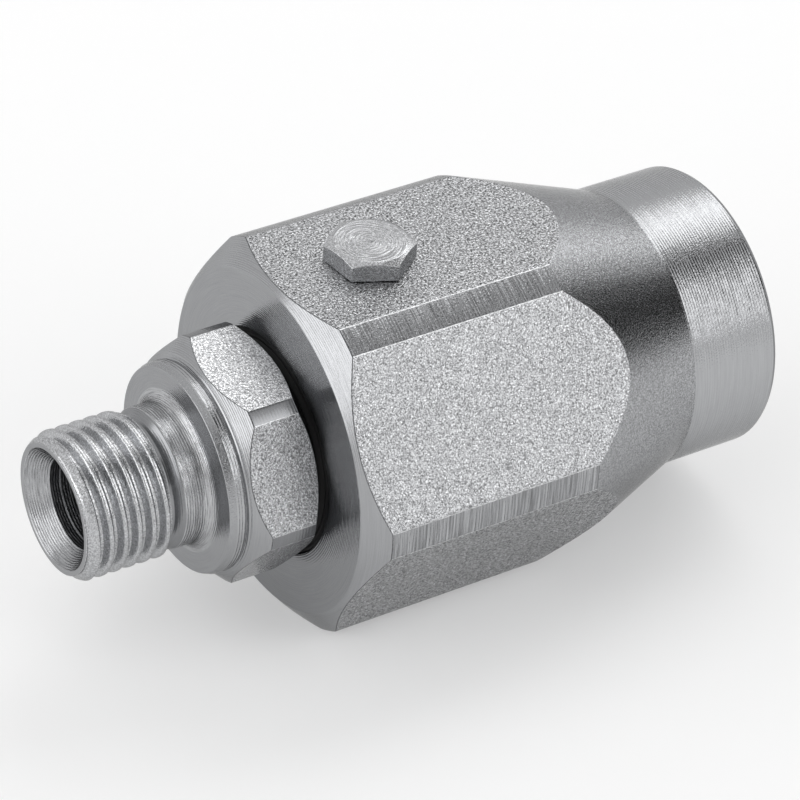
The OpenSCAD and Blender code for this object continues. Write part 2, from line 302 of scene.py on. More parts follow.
def add(tree, kind, settings=None, links=None):
    """Adds one node. Settings are its properties or input values; links go from a socket to one."""
    node = tree.nodes.new(kind)
    for key, value in (settings or {}).items():
        if isinstance(key, str) and hasattr(node, key) and key not in node.inputs:
            setattr(node, key, value)
        else:
            node.inputs[key].default_value = value
    for key, socket in (links or {}).items():
        tree.links.new(socket, node.inputs[key])
    return node


def new_material(name, colour, roughness, metallic=1.0):
    """A principled material with its constants on the shader's own sockets.

    A plated metal is duller at a grazing view than a clean one, so its specular tint is a grey.
    """
    material = bpy.data.materials.new(name)
    material.use_nodes = True
    tree = material.node_tree
    shader = tree.nodes["Principled BSDF"]
    shader.inputs["Base Color"].default_value = linear(colour)
    shader.inputs["Metallic"].default_value = metallic
    shader.inputs["Roughness"].default_value = roughness
    if metallic == 1.0:
        shader.inputs["Specular Tint"].default_value = edge_tint
    return material, tree, shader


def paint_light_and_shade(tree, shader, colour, pattern, low, high, tone):
    """Painted shade and highlight: base colour times tone[0] where the pattern is `low`, rising to
    tone[1] where it is `high`.
    """
    shade = add(tree, "ShaderNodeMapRange",
                {"From Min": low, "From Max": high, "To Min": tone[0], "To Max": tone[1]},
                {"Value": pattern})
    paint = add(tree, "ShaderNodeMix",
                {"data_type": "RGBA", "blend_type": "MULTIPLY", 0: 1.0, 6: linear(colour)},
                {7: shade.outputs[0]})
    tree.links.new(paint.outputs[2], shader.inputs["Base Color"])


print("mid grey #808080 is", round(linear("#808080")[0], 3), "in linear light")

# %% [markdown]
# A turned surface carries the marks of the tool, one fine groove for each turn of the lathe. A lathe
# tool moves along x on a cylinder and along the radius on a face. The sum x + radius counts its
# travel in both cases, so one coordinate draws the marks of every turned surface. It fails only on a
# countersink, whose radius falls as x grows, so that there the travel is x - radius.
#
# The marks are 0.2 to 0.33 mm apart, which is the feed of the lathe, and waver a little round the
# part. The broken scratches between them are a noise that is stretched round the axis.

# %% Turned steel
noise_lift = 2.5  # a noise stays near 0.5, within 0.2, so this makes it swing as far as a sine
waver_scale, lane_scale, scratch_scale = 2.2, 1.6, 2.3
scratch_low, scratch_high = 0.3, 0.7


def tool_travel(tree, centre_x, about, inward):
    """Sockets of the tool's travel in metres and of the direction round the axis, as a vector."""
    place = add(tree, "ShaderNodeTexCoord").outputs["Object"]
    shifted = add(tree, "ShaderNodeVectorMath",
                  {"operation": "SUBTRACT", 1: (centre_x, 0.0, 0.0)}, {0: place})
    keep = (0.0, 1.0, 1.0) if about == "x" else (1.0, 1.0, 0.0)
    across = add(tree, "ShaderNodeVectorMath", {"operation": "MULTIPLY", 1: keep},
                 {0: shifted.outputs[0]})
    radius = add(tree, "ShaderNodeVectorMath", {"operation": "LENGTH"}, {0: across.outputs[0]})
    along = add(tree, "ShaderNodeSeparateXYZ", None, {0: shifted.outputs[0]})
    end = along.outputs["X"] if about == "x" else along.outputs["Z"]
    travel = add(tree, "ShaderNodeMath", {"operation": "SUBTRACT" if inward else "ADD"},
                 {0: end, 1: radius.outputs["Value"]})
    round_way = add(tree, "ShaderNodeVectorMath", {"operation": "NORMALIZE"},
                    {0: across.outputs[0]})
    return travel.outputs[0], round_way.outputs[0]


def tool_marks(tree, shader, pitch_mm, depth_mm, streak=0.5, wander=0.35, grain=0.0,
               grain_mm=0.16, centre_x=0.0, about="x", inward=False):
    """Bump of the tool's grooves: a sine of the travel, broken by noise stretched round the axis.

    `streak` is the share of the broken scratches and `grain` that of fine blasting dust over them,
    `grain_mm` wide. `wander` is how far the grooves waver, in grooves. Returns the scratches.
    """
    travel, round_way = tool_travel(tree, centre_x, about, inward)
    turns = add(tree, "ShaderNodeMath", {"operation": "MULTIPLY", 1: 1.0 / (pitch_mm * MM)},
                {0: travel})
    waver = add(tree, "ShaderNodeTexNoise", {"Scale": waver_scale, "Detail": 2.0},
                {"Vector": round_way})
    shifted = add(tree, "ShaderNodeMath", {"operation": "MULTIPLY_ADD", 1: wander},
                  {0: waver.outputs["Fac"], 2: turns.outputs[0]})
    angle = add(tree, "ShaderNodeMath", {"operation": "MULTIPLY", 1: 2 * math.pi},
                {0: shifted.outputs[0]})
    groove = add(tree, "ShaderNodeMath", {"operation": "SINE"}, {0: angle.outputs[0]})
    stretched = add(tree, "ShaderNodeVectorMath", {"operation": "SCALE", "Scale": lane_scale},
                    {0: round_way})
    apart = add(tree, "ShaderNodeCombineXYZ", None, {"X": turns.outputs[0]})
    lane = add(tree, "ShaderNodeVectorMath", {"operation": "ADD"},
               {0: stretched.outputs[0], 1: apart.outputs[0]})
    scratch = add(tree, "ShaderNodeTexNoise",
                  {"Scale": scratch_scale, "Detail": 4.0, "Roughness": 0.65},
                  {"Vector": lane.outputs[0]})
    height = add(tree, "ShaderNodeMath", {"operation": "MULTIPLY_ADD", 1: streak * noise_lift},
                 {0: scratch.outputs["Fac"], 2: groove.outputs[0]})
    if grain:
        place = add(tree, "ShaderNodeTexCoord").outputs["Object"]
        dust = add(tree, "ShaderNodeTexNoise", {"Scale": 1.0 / (grain_mm * MM), "Detail": 2.0},
                   {"Vector": place})
        height = add(tree, "ShaderNodeMath", {"operation": "MULTIPLY_ADD", 1: grain * noise_lift},
                     {0: dust.outputs["Fac"], 2: height.outputs[0]})
    bump = add(tree, "ShaderNodeBump", {"Strength": 1.0, "Distance": depth_mm * MM},
               {"Height": height.outputs[0]})
    tree.links.new(bump.outputs[0], shader.inputs["Normal"])
    return scratch.outputs["Fac"]


def turned_steel(name, colour, roughness, pitch_mm, depth_mm, tone=(0.90, 1.06), **marks):
    """Zinc-plated turned steel: the plating is bright, the tool marks show as fine rings, and painted
    shade and highlight follow the scratches.
    """
    material, tree, shader = new_material(name, colour, roughness)
    scratch = tool_marks(tree, shader, pitch_mm, depth_mm, **marks)
    spread = add(tree, "ShaderNodeMapRange",
                 {"From Min": scratch_low, "From Max": scratch_high,
                  "To Min": roughness - 0.03, "To Max": roughness + 0.05}, {"Value": scratch})
    tree.links.new(spread.outputs[0], shader.inputs["Roughness"])
    paint_light_and_shade(tree, shader, colour, scratch, scratch_low, scratch_high, tone)
    return material


# %% [markdown]
# The flats are the skin of the drawn bar. Blasting it with fine grit before plating leaves dimples of
# 0.15 to 0.18 mm, and the light breaks into bright and dark grains there. That is about two pixels of
# the picture; the finer grain between them wouldn't show and is left out. Displacing the mesh would
# take millions of faces for this, and a bump takes none. The same noise also paints shade into the
# bottoms of the dimples and highlights onto their rims. Every second flat of the housing, counted from
# the top one, has deeper pits and a stronger painted shade and highlight, for the hard light on top.

# %% Blasted flats
def blasted_steel(name, colour, roughness, grain_mm, depth_mm, tone=(0.93, 1.05)):
    """Zinc over blasted steel: dimples `grain_mm` wide with finer ones over them, painted shade deep
    in them and painted highlights between them.
    """
    material, tree, shader = new_material(name, colour, roughness)
    place = add(tree, "ShaderNodeTexCoord").outputs["Object"]
    dimple = add(tree, "ShaderNodeTexNoise",
                 {"Scale": 1.0 / (grain_mm * MM), "Detail": 3.0, "Roughness": 0.55,
                  "Distortion": 0.6}, {"Vector": place})
    bump = add(tree, "ShaderNodeBump", {"Strength": 1.0, "Distance": depth_mm * MM},
               {"Height": dimple.outputs["Fac"]})
    tree.links.new(bump.outputs[0], shader.inputs["Normal"])
    paint_light_and_shade(tree, shader, colour, dimple.outputs["Fac"], 0.35, 0.65, tone)
    return material


# Drawn bar under fine grit: an even sparkle of small grains, with painted shade and highlight in them.
flats = blasted_steel("zinc_on_blasted_bar", "#BFC0C2", 0.16, 0.150, 0.064, tone=(0.30, 1.36))
# Every second flat of the housing: deeper pits, with painted shade nearly black between grains painted
# bright, for the hard light on the top flat.
coarse_flats_painted_shade = blasted_steel("zinc_on_coarse_bar_painted_shade", "#C5C6C8", 0.12, 0.180, 0.130,
                             tone=(0.08, 1.55))
# The spindle's bar: every second flat, counted from the top one, is painted paler for the light on its
# top flat.
spindle_flats_painted_paler = blasted_steel("zinc_on_spindle_bar_painted_paler", "#E0E1E3", 0.14, 0.165, 0.080,
                              tone=(0.36, 1.44))
print("finishes of the flats:", flats.name, coarse_flats_painted_shade.name, spindle_flats_painted_paler.name)

# %% [markdown]
# The turned places differ in the feed and the sharpness of the tool. The corners of the hexagon were
# turned quickly, with a coarse feed; the faces and the rear cylinder were finished with a finer one.
# The long cone was blasted after turning, so it is satin and has no rings. One function could give
# all of them the same look, but the eye tells these places apart by just such small differences.

# %% Turned places
# Corners of the hexagon, turned with a coarse feed: strong scratches across the narrow strips.
turned_strip = turned_steel("zinc_on_coarse_turning", "#A5A6A8", 0.10, 0.33, 0.0190,
                            tone=(0.42, 1.34), streak=1.1, grain=1.1)
# Front chamfer: a quiet ring with faint grooves.
turned_rim = turned_steel("zinc_on_turned_chamfer", "#A4A5A7", 0.17, 0.26, 0.0052,
                          streak=1.2, grain=0.6)
# End faces, faced with a fine feed: the smoothest grey of the part.
turned_face = turned_steel("zinc_on_faced_end", "#A3A4A6", 0.18, 0.21, 0.0040,
                           streak=1.0, grain=0.7)
# Rear cylinder, finish turned: bright, with even fine rings.
turned_rear = turned_steel("zinc_on_fine_turning", "#AFB0B2", 0.08, 0.27, 0.0112,
                           streak=0.7, grain=0.8)
# Shank behind the thread, turned with a form tool: broad soft streaks.
shank_turning = turned_steel("zinc_on_turned_shank", "#BCBDBF", 0.08, 0.24, 0.0065,
                             tone=(0.55, 1.2), streak=2.4, grain=1.2)
# Seat cone and countersink: rings that catch the light one by one.
seat_turning = turned_steel("zinc_on_turned_seat", "#A8A9AB", 0.14, 0.30, 0.0075,
                            tone=(0.6, 1.25), streak=2.0, grain=1.2, inward=True)
# Long taper, blasted after turning: satin, with a grain finer than that of the flats.
satin_cone = blasted_steel("zinc_on_satin_taper", "#A4A5A7", 0.08, 0.130, 0.0260,
                           tone=(0.55, 1.34))
print("finishes of the turned places made")

# %% [markdown]
# The last finishes are those of narrow places: the thread, the collar's rim, the relief neck, the
# drilled bore, and the edges. The neck and the bore carry painted shade, the edge beside a turned
# strip a painted highlight, and the line where a chamfer meets a flat is a thin dark line.

# %% Threads, necks, bores and edges
# Cut thread: bright crests with a little grain.
bright_thread = blasted_steel("zinc_on_cut_thread", "#C0C1C3", 0.12, 0.14, 0.0260,
                              tone=(0.6, 1.2))
# Collar face: matt, with a soft grain.
grained_rim = blasted_steel("zinc_on_grained_rim", "#A3A4A6", 0.12, 0.15, 0.0500)
# Relief neck, spindle corners and the housing's rear edge: smooth, with painted shade in a darker
# colour.
neck_painted_shade = turned_steel("zinc_in_neck_painted_shade", "#8E8F91", 0.20, 0.30, 0.0012)
# Bore: drilled, oily and almost bare of zinc, and painted darker for the shade inside the hole.
drilled = turned_steel("steel_in_drilled_bore", "#646567", 0.34, 0.24, 0.0120,
                       streak=1.2, grain=3.0)
# Edge beside a turned strip: a painted highlight in a paler colour.
edge_highlight = blasted_steel("zinc_edge_painted_highlight", "#D2D3D5", 0.30, 0.20, 0.0300, tone=(0.5, 1.2))
# Edge between chamfer and flat: a thin dark line.
dark_edge_line = blasted_steel("zinc_dark_edge_line", "#6A6B6D", 0.30, 0.16, 0.0300, tone=(0.35, 1.5))

(FLAT, STRIP, FACE, REAR, CONE, BORE, THREAD, RIM,
 NECK_PAINTED_SHADE, SHANK, SEAT, CHAMFER, EDGE_HIGHLIGHT, COARSE_FLAT_PAINTED_SHADE, SPINDLE_FLAT_PAINTED_PALER, DARK_EDGE_LINE) = range(16)
steel = [flats, turned_strip, turned_face, turned_rear, satin_cone, drilled, bright_thread,
         grained_rim, neck_painted_shade, shank_turning, seat_turning, turned_rim, edge_highlight, coarse_flats_painted_shade,
         spindle_flats_painted_paler, dark_edge_line]
print(len(steel), "finishes of steel")

# %% [markdown]
# ## The screw thread
#
# Both ends have the same pipe thread: 13.157 mm across, 1.337 mm from groove to groove, with 55
# degree flanks and rounded tops. A profile could be swept along a helix, but its ends would have to be
# joined to the rest by hand. Here the radius at a point depends only on where the point is within a
# turn of the helix, so the whole thread is one formula of x and the angle, and it needs no joining.

# %% Thread form
pitch = 1.337
major_r = 13.157 / 2
thread_h = 0.856


def thread_depth(x, angles, start_x, crest=1 / 6, root=1 / 6, height=thread_h, soft=0.12):
    """Depth below the crest, 0 to `height`, of a right-hand helix.

    The place within a turn is x / pitch minus angle / one turn, and the bottom of the groove is at
    start_x where the angle is zero. A triangle wave of the sharp V is cut off at crest and root,
    each a share of the pitch, and both cuts are rounded by a parabola over `soft` of the flank.
    """
    turns = (x - start_x) / pitch - angles / (2 * math.pi)
    wave = np.abs(2 * (turns - np.floor(turns)) - 1)
    cut = (wave - crest) / (1 - crest - root)
    eased = np.where(cut < soft, np.maximum(cut + soft, 0) ** 2 / (4 * soft), cut)
    eased = np.where(eased > 1 - soft, 1 - np.maximum(1 + soft - eased, 0) ** 2 / (4 * soft), eased)
    return height * np.clip(eased, 0.0, 1.0)


print("thread depth", thread_h, "mm, root radius", round(major_r - thread_h, 3))

# %% [markdown]
# ## The housing
#
# A piece of hexagon bar, bored from both ends. The spindle side holds the wiper recess, the outer
# half of the ball groove and the bores for the seals; the other side is drilled and tapped as a port.
# The measures below are those of the CAD solid. The outline is closed: over the front face, up the
# chamfer, along the hexagon, down the long cone, along the rear cylinder, into the threaded port,
# through the passage, and back over the steps that hold the bush, the seals, the balls and the wiper.

# %% Housing measures
journal_r, seal_journal_r, ball_r = 8.75, 7.5, 1.5
run_clear = 0.05
bore_r = journal_r + run_clear
seal_bore_r = seal_journal_r + run_clear
orbit_r = (journal_r + bore_r) / 2
groove_r = ball_r + 0.04
half_gap = math.degrees(math.acos((bore_r - orbit_r) / groove_r))
race_x = face_x + 9.5
wiper_r, wiper_depth = 10.2, 2.6
front_face_r, chamfer_len = 15.55, 1.76
hex_end, cone_end = face_x + 22.7, face_x + 36.1
rear_r, rear_edge, rear_drop = 12.95, 0.4, 0.28
core_r, port_mouth_r = major_r - thread_h, 6.8
port_bottom_x = mouth_x - 14.0
passage_r, bush_hole_r = 4.0, 7.3
drill_half_point = math.radians(59)
point_len = (core_r - passage_r) / math.tan(drill_half_point)
step_x = face_x + 16.2
groove_wall, ring_groove_len = 1.4, 4.92
seal_end_x = step_x + groove_wall + ring_groove_len + groove_wall
pocket_x = seal_end_x + 3.6
bore_step_x, bore_step_slope = step_x + 0.2, 0.6
print(f"main bore {bore_r:.2f}, ball circle {orbit_r:.3f}, seal bore {seal_bore_r:.2f}")

# %% [markdown]
# On the hexagon the front chamfer and the rear cone are cones about the axis. Where a cone meets the
# hexagon, x follows from the radius there, so the edge rises towards the corners and each flat ends
# in a curve, as on a hexagon nut. Only these two edges and the thread depend on the angle.

# %% Housing outline
chamfer_x = face_x + chamfer_len * (hexagon_top - front_face_r) / (corner_r - front_face_r)
cone_x = hex_end + (cone_end - hex_end) * (corner_r - hexagon_top) / (corner_r - rear_r)
dark_line_width = 0.10

outer_part = [
    (face_x, wiper_r, 0.15, FACE),
    (face_x, front_face_r, 0.10, CHAMFER),
    (chamfer_x, hexagon_top, 0.05, DARK_EDGE_LINE),
    (chamfer_x + dark_line_width, hexagon_top, 0, FLAT),
    (cone_x, hexagon_top, 0.12, CONE),
    (cone_end, rear_r, 0.15, REAR),
    (mouth_x - rear_edge, rear_r, 0.10, NECK_PAINTED_SHADE),
    (mouth_x, rear_r - rear_drop, 0.10, FACE),
    (mouth_x, port_mouth_r, 0.08, SEAT),
    (0.0, core_r, 0, THREAD),
]
inner_part = [
    (port_bottom_x, core_r, 0, BORE),
    (port_bottom_x - point_len, passage_r, 0.05, BORE),
    (pocket_x, passage_r, 0.08, BORE),
    (pocket_x, bush_hole_r, 0.05, BORE),
    (seal_end_x, bush_hole_r, 0.05, BORE),
    (seal_end_x, seal_bore_r, 0.08, BORE),
    (bore_step_x + (bore_r - seal_bore_r) * bore_step_slope, seal_bore_r, 0.08, BORE),
    (bore_step_x, bore_r, 0.08, BORE),
    *arc_corners(race_x, orbit_r, groove_r, 90 - half_gap, 90 + half_gap, 11, BORE),
    (face_x + wiper_depth, bore_r, 0.05, BORE),
    (face_x + wiper_depth, wiper_r, 0.05, BORE),
]
housing_outline = outline_rows(outer_part + inner_part, len(housing_angles))
print("housing outline:", len(housing_outline[2]), "rows")

# %% [markdown]
# The thread's rows are put between those of the countersink and those of the drilled bottom. A tap
# leaves the thread shallower at its end, so its depth fades out over the last turn.

# %% Port thread and housing mesh
port_thread_x = np.linspace(-0.08, port_bottom_x + 0.1, 150)
runout_x, runout_len = port_bottom_x + 1.6, 1.4


def put_thread(outline, before_corner, x_rows, r_rows):
    """The outline's rows of x, radius and finish, with rows of thread put in before a corner."""
    xs, rs, finish, first_row = outline
    at = first_row[before_corner]
    return (np.concatenate([xs[:at], x_rows, xs[at:]]), np.concatenate([rs[:at], r_rows, rs[at:]]),
            finish[:at] + [THREAD] * len(x_rows) + finish[at:])


inside = np.repeat(port_thread_x[:, None], len(housing_angles), axis=1)
fade = np.clip((port_thread_x - runout_x) / runout_len, 0.0, 1.0)[:, None]
groove = np.maximum((thread_h - thread_depth(inside, housing_angles, 0.0)) * fade, 0.0)
housing_x, housing_r, housing_finish = put_thread(housing_outline, len(outer_part), inside,
                                                  core_r + groove)
housing = wrap_sheet("swivel_housing", housing_x, housing_r, housing_angles, housing_finish, steel)
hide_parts("housing")
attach(housing, "housing")

# %% [markdown]
# On the hexagon the same rows cross flats and turned corners, so the finish there is chosen by angle:
# a face belongs to a corner strip where the flat would stand out beyond the turned circle. The
# strip's outermost faces carry a painted highlight along the edge beside the flat.

# %% Corner strips
edge_highlight_deg = 0.26


def paint_strips(piece, angles, flat, corner, turned_deg, rows_count, second_slot, strip_slot):
    """Gives the corner strips, where flat / cos(angle) > corner, their finish, and their edges a
    painted highlight.

    Every second flat, counted from the top one, gets the finish in `second_slot`.
    """
    mesh = piece.data
    slots = np.zeros(len(mesh.polygons), np.int32)
    mesh.polygons.foreach_get("material_index", slots)
    middle = angles + np.diff(np.append(angles, angles[0] + 2 * math.pi)) / 2
    off = off_middle(middle, turned_deg)
    in_strip = flat / np.cos(np.radians(off)) > corner
    on_edge = np.abs(np.abs(off) - math.degrees(math.acos(flat / corner))) < edge_highlight_deg
    second = np.round((np.degrees(middle) - turned_deg) / 60) % 2 == 0
    grid = slots.reshape(rows_count, len(angles))
    on_hexagon = grid == FLAT
    grid[on_hexagon & second[None, :]] = second_slot
    grid[on_hexagon & in_strip[None, :]] = strip_slot
    grid[on_hexagon & (in_strip & on_edge)[None, :]] = EDGE_HIGHLIGHT
    mesh.polygons.foreach_set("material_index", grid.ravel())
    print(piece.name, "strip lines:", int(in_strip.sum()))


paint_strips(housing, housing_angles, flat_r, corner_r, 0.0, len(housing_x), COARSE_FLAT_PAINTED_SHADE, STRIP)

# %% [markdown]
# ## The spindle
#
# One turned piece of smaller hexagon bar. From the stud tip its outline runs over the lip, the
# thread, the relief groove with its conical foot, the shank with a fillet, the round collar, the
# stepped grooves beside it and the hexagon. Inside the housing follow the journals with the grooves
# for the rings and the inner half of the ball groove, and then the bore leads back to the seat cone.
# The hexagon stands turned by a few degrees against the housing, as the photograph shows it.

# %% Spindle measures
collar_x = face_x - 8.9
shank_x = collar_x - 2.65
relief_x = shank_x - 1.1
lead_len = 1.1
collar_r, shank_r, relief_r, lip_r = 9.45, 6.3, 5.45, 5.85
hex_flat_r, hex_corner_r, hex_turn = 10.0, 11.15, 7.8
fillet = 0.95
cone_start = collar_x + 1.9
hex_rear_x, hex_rear_r = face_x - 0.5, 9.75
bore_in_r, bore_out_r, seat_r, seat_len = 3.75, 4.0, 5.44, 1.86
seal_floor_r = seal_bore_r - 2.2 - 0.04
ring_groove_x = step_x + groove_wall
ring_groove_end = ring_groove_x + ring_groove_len
grease_x, grease_half, grease_depth = face_x + 4.9, 0.85, 1.35
guide_x, guide_half, guide_depth = face_x + 13.6, 1.34, 1.0
journal_step, seal_step, pilot_r = 0.4, 0.3, 6.0

spindle_angles = hexagon_angles(hex_flat_r, hex_corner_r, hex_turn)
hex_top = hexagon_radius(spindle_angles, hex_flat_r, hex_corner_r, hex_turn, 0.03)
front_cone_x = cone_start + (hex_top - hex_flat_r)
rear_cone_x = hex_rear_x - 0.75 * (hex_top - hex_rear_r)
print(f"collar at {collar_x:.3f}, relief from {relief_x:.3f} to {shank_x:.3f}")

# %% [markdown]
# The outline is in three parts, so that each can be read beside the real piece: the tip in front of
# the thread, the outside from the thread to the hexagon, and what the housing hides.

# %% Spindle outline
tip_part = [
    (tip_x, seat_r, 0.05, FACE),
    (tip_x, lip_r, 0.08, THREAD),
]
seen_part = [
    (relief_x, major_r - 0.5, 0, THREAD),
    (relief_x + 0.04, relief_r, 0.12, NECK_PAINTED_SHADE),
    (shank_x - 0.62, relief_r, 0.20, NECK_PAINTED_SHADE),
    (shank_x + 0.12, shank_r, 0.10, SHANK),
    *arc_corners(collar_x - fillet, shank_r + fillet, fillet, -90, 0, 9, SHANK),
    (collar_x, shank_r + fillet + 0.06, 0, FACE),
    (collar_x, collar_r - 0.25, 0.07, RIM),
    (collar_x + 0.60, collar_r, 0.06, REAR),
    (collar_x + 1.42, collar_r, 0.04, REAR),
    (collar_x + 1.46, collar_r - 0.06, 0.02, REAR),
    (collar_x + 1.52, collar_r - 0.06, 0.02, CHAMFER),
    (collar_x + 1.60, collar_r + 0.24, 0.04, CHAMFER),
    (collar_x + 1.70, collar_r + 0.35, 0.02, REAR),
    (collar_x + 1.74, collar_r + 0.30, 0.02, CHAMFER),
    (collar_x + 1.80, collar_r + 0.45, 0.03, CHAMFER),
    (front_cone_x, hex_top, 0.05, DARK_EDGE_LINE),
    (front_cone_x + 0.09, hex_top, 0, FLAT),
    (rear_cone_x, hex_top, 0.08, CHAMFER),
    (hex_rear_x, hex_rear_r, 0.08, FACE),
]
hidden_part = [
    (hex_rear_x, journal_r, 0.05, REAR),
    (grease_x - grease_half, journal_r, 0.04, REAR),
    (grease_x - grease_half, journal_r - grease_depth, 0.04, REAR),
    (grease_x + grease_half, journal_r - grease_depth, 0.04, REAR),
    (grease_x + grease_half, journal_r, 0.04, REAR),
    *arc_corners(race_x, orbit_r, groove_r, -179, -1, 11, REAR),
    (guide_x - guide_half, journal_r, 0.04, REAR),
    (guide_x - guide_half, journal_r - guide_depth, 0.04, REAR),
    (guide_x + guide_half, journal_r - guide_depth, 0.04, REAR),
    (guide_x + guide_half, journal_r, 0.04, REAR),
    (step_x - journal_step, journal_r, 0.05, REAR),
    (step_x, journal_r - journal_step, 0.05, REAR),
    (step_x, seal_journal_r, 0.05, REAR),
    (ring_groove_x, seal_journal_r, 0.05, REAR),
    (ring_groove_x, seal_floor_r, 0.05, REAR),
    (ring_groove_end, seal_floor_r, 0.05, REAR),
    (ring_groove_end, seal_journal_r, 0.05, REAR),
    (seal_end_x - seal_step, seal_journal_r, 0.05, REAR),
    (seal_end_x, seal_journal_r - seal_step, 0.05, REAR),
    (seal_end_x, pilot_r, 0.05, REAR),
    (pilot_end_x - 0.4, pilot_r, 0.05, REAR),
    (pilot_end_x, pilot_r - 0.4, 0.05, FACE),
    (pilot_end_x, bore_in_r + 0.5, 0.05, BORE),
    (pilot_end_x - 0.5, bore_in_r, 0.05, BORE),
    (tip_x + 6.0, bore_in_r, 0.05, BORE),
    (tip_x + seat_len + 0.95, bore_out_r - 0.08, 0.03, BORE),
    (tip_x + seat_len + 0.88, bore_out_r, 0.03, BORE),
    (tip_x + seat_len, bore_out_r, 0.06, SEAT),
]
spindle_outline = outline_rows(tip_part + seen_part + hidden_part, len(spindle_angles))
print("spindle outline:", len(spindle_outline[2]), "rows")

# %% [markdown]
# The stud's thread has broader, blunter tops than the port's, because plating and handling rounded
# them. It starts in a short cone, which is drawn as a second limit on the radius: the smaller of the
# two wins, so the first turn grows out of the tip as it does behind a die. The phase puts its crests
# where the photograph has them.

# %% Stud thread and spindle mesh
stud_thread_x = np.linspace(tip_x + 0.15, relief_x - 0.02, 132)
stud_phase = -0.205
stud_along = np.repeat(stud_thread_x[:, None], len(spindle_angles), axis=1)
lead_in = lip_r + (stud_along - tip_x) * (major_r - lip_r) / lead_len
stud = major_r - thread_depth(stud_along, spindle_angles, tip_x + stud_phase,
                              crest=0.22, root=0.24, height=0.79)
stud = np.minimum(stud, lead_in)
spindle_x, spindle_r, spindle_finish = put_thread(spindle_outline, len(tip_part), stud_along, stud)
spindle = wrap_sheet("stud_spindle", spindle_x, spindle_r, spindle_angles, spindle_finish, steel)
paint_strips(spindle, spindle_angles, hex_flat_r, hex_corner_r, hex_turn, len(spindle_x),
             SPINDLE_FLAT_PAINTED_PALER, NECK_PAINTED_SHADE)
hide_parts("spindle")
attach(spindle, "spindle")

# %% [markdown]
# ## The filler plug
#
# The balls go in through a hole in the top flat, and a small hexagon screw closes it. Its top was
# faced on a lathe, so it has fine rings, a small pip in the middle and a chamfer that cuts the six
# corners. The head stands on a slightly smaller round foot, which makes the thin dark line round its
# base. It is the same kind of sheet as before, wrapped round the upright axis of the screw.

# %% Plug measures and finishes
plug_flat_r, plug_corner_r, plug_turn = 3.5, 4.01, 66.0
head_top = plug_high[2]
foot_r, foot_h = 3.30, 0.10
disc_r, chamfer_drop = 3.22, 0.45
pin_r, pin_end = 2.0, orbit_r + groove_r + 0.05
middle_r = 0.04
point_r = plug_flat_r / math.cos(math.radians(30))

# Head faced with a hand-fed tool: uneven rings that run round the pip.
plug_top = turned_steel("zinc_on_faced_plug", "#C6C7C9", 0.12, 0.30, 0.0090, tone=(0.42, 1.36),
                        streak=3.2, grain=2.4, wander=0.9, centre_x=plug_x * MM, about="z")
# Chamfer of the head: grained, and bright where it faces a lamp.
plug_chamfer = blasted_steel("zinc_on_plug_chamfer", "#C4C5C7", 0.20, 0.15, 0.0320,
                             tone=(0.65, 1.2))
# Sides of the head: drawn wire, a little duller.
plug_drawn = blasted_steel("zinc_on_drawn_plug_side", "#C0C1C3", 0.24, 0.16, 0.0360,
                           tone=(0.55, 1.2))
PLUG_TOP, PLUG_CHAMFER, PLUG_SIDE, PLUG_FOOT = range(4)
plug_steel = [plug_top, plug_chamfer, plug_drawn, plug_drawn]
print(f"plug head {head_top - flat_r:.2f} mm high, pin ends {pin_end:.2f} mm from the axis")

# %% [markdown]
# The outline starts in the pip and ends in the middle of the pin, which is flush with the ball
# groove inside. It stops just short of the axis at both ends, and the caps close it there.

# %% Plug surface
plug_angles = hexagon_angles(plug_flat_r, plug_corner_r, plug_turn)
plug_side = hexagon_radius(plug_angles, plug_flat_r, plug_corner_r, plug_turn, 0.02)
shoulder_z = head_top - chamfer_drop * (plug_side - disc_r) / (point_r - disc_r)
head_base = flat_r + foot_h
plug_part = [
    (head_top - 0.07, middle_r, 0, PLUG_TOP),
    (head_top - 0.06, 0.16, 0.04, PLUG_TOP),
    (head_top, 0.30, 0.05, PLUG_TOP),
    (head_top, 1.2, 0, PLUG_TOP),
    (head_top, 2.2, 0, PLUG_TOP),
    (head_top, disc_r, 0.07, PLUG_CHAMFER),
    (shoulder_z, plug_side, 0.05, PLUG_SIDE),
    (head_base, plug_side, 0.03, PLUG_FOOT),
    (head_base, foot_r, 0.03, PLUG_FOOT),
    (flat_r, foot_r, 0.03, PLUG_FOOT),
    (flat_r, pin_r + 0.05, 0.03, PLUG_FOOT),
    (flat_r - 0.3, pin_r, 0.05, PLUG_FOOT),
    (pin_end, pin_r, 0, PLUG_FOOT),
    (pin_end, middle_r, 0, PLUG_FOOT),
]
plug_z, plug_r, plug_finish, _ = outline_rows(plug_part, len(plug_angles))
plug = wrap_sheet("hexagon_filler_plug", plug_z, plug_r, plug_angles, plug_finish, plug_steel,
                  upright_x=plug_x)
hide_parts("filler_plug")
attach(plug, "housing")

# %% [markdown]
# ## The small pieces
#
# The balls, rings and bush keep their CAD shapes, which are right as they are. They get the finish of
# polished balls, nitrile rubber, white PTFE and sintered bronze. All four are even surfaces with a
# very fine grain, so one function serves them.

# %% Rubber, plastic, bronze and ball steel
def mottled(name, colour, roughness, grain_mm, metallic=0.0, depth_mm=0.004):
    """A moulded, sintered or polished surface: an even colour with a fine grain in its height."""
    material, tree, shader = new_material(name, colour, roughness, metallic)
    place = add(tree, "ShaderNodeTexCoord").outputs["Object"]
    grain = add(tree, "ShaderNodeTexNoise", {"Scale": 1.0 / (grain_mm * MM), "Detail": 3.0},
                {"Vector": place})
    bump = add(tree, "ShaderNodeBump", {"Strength": 0.8, "Distance": depth_mm * MM},
               {"Height": grain.outputs["Fac"]})
    tree.links.new(bump.outputs[0], shader.inputs["Normal"])
    return material


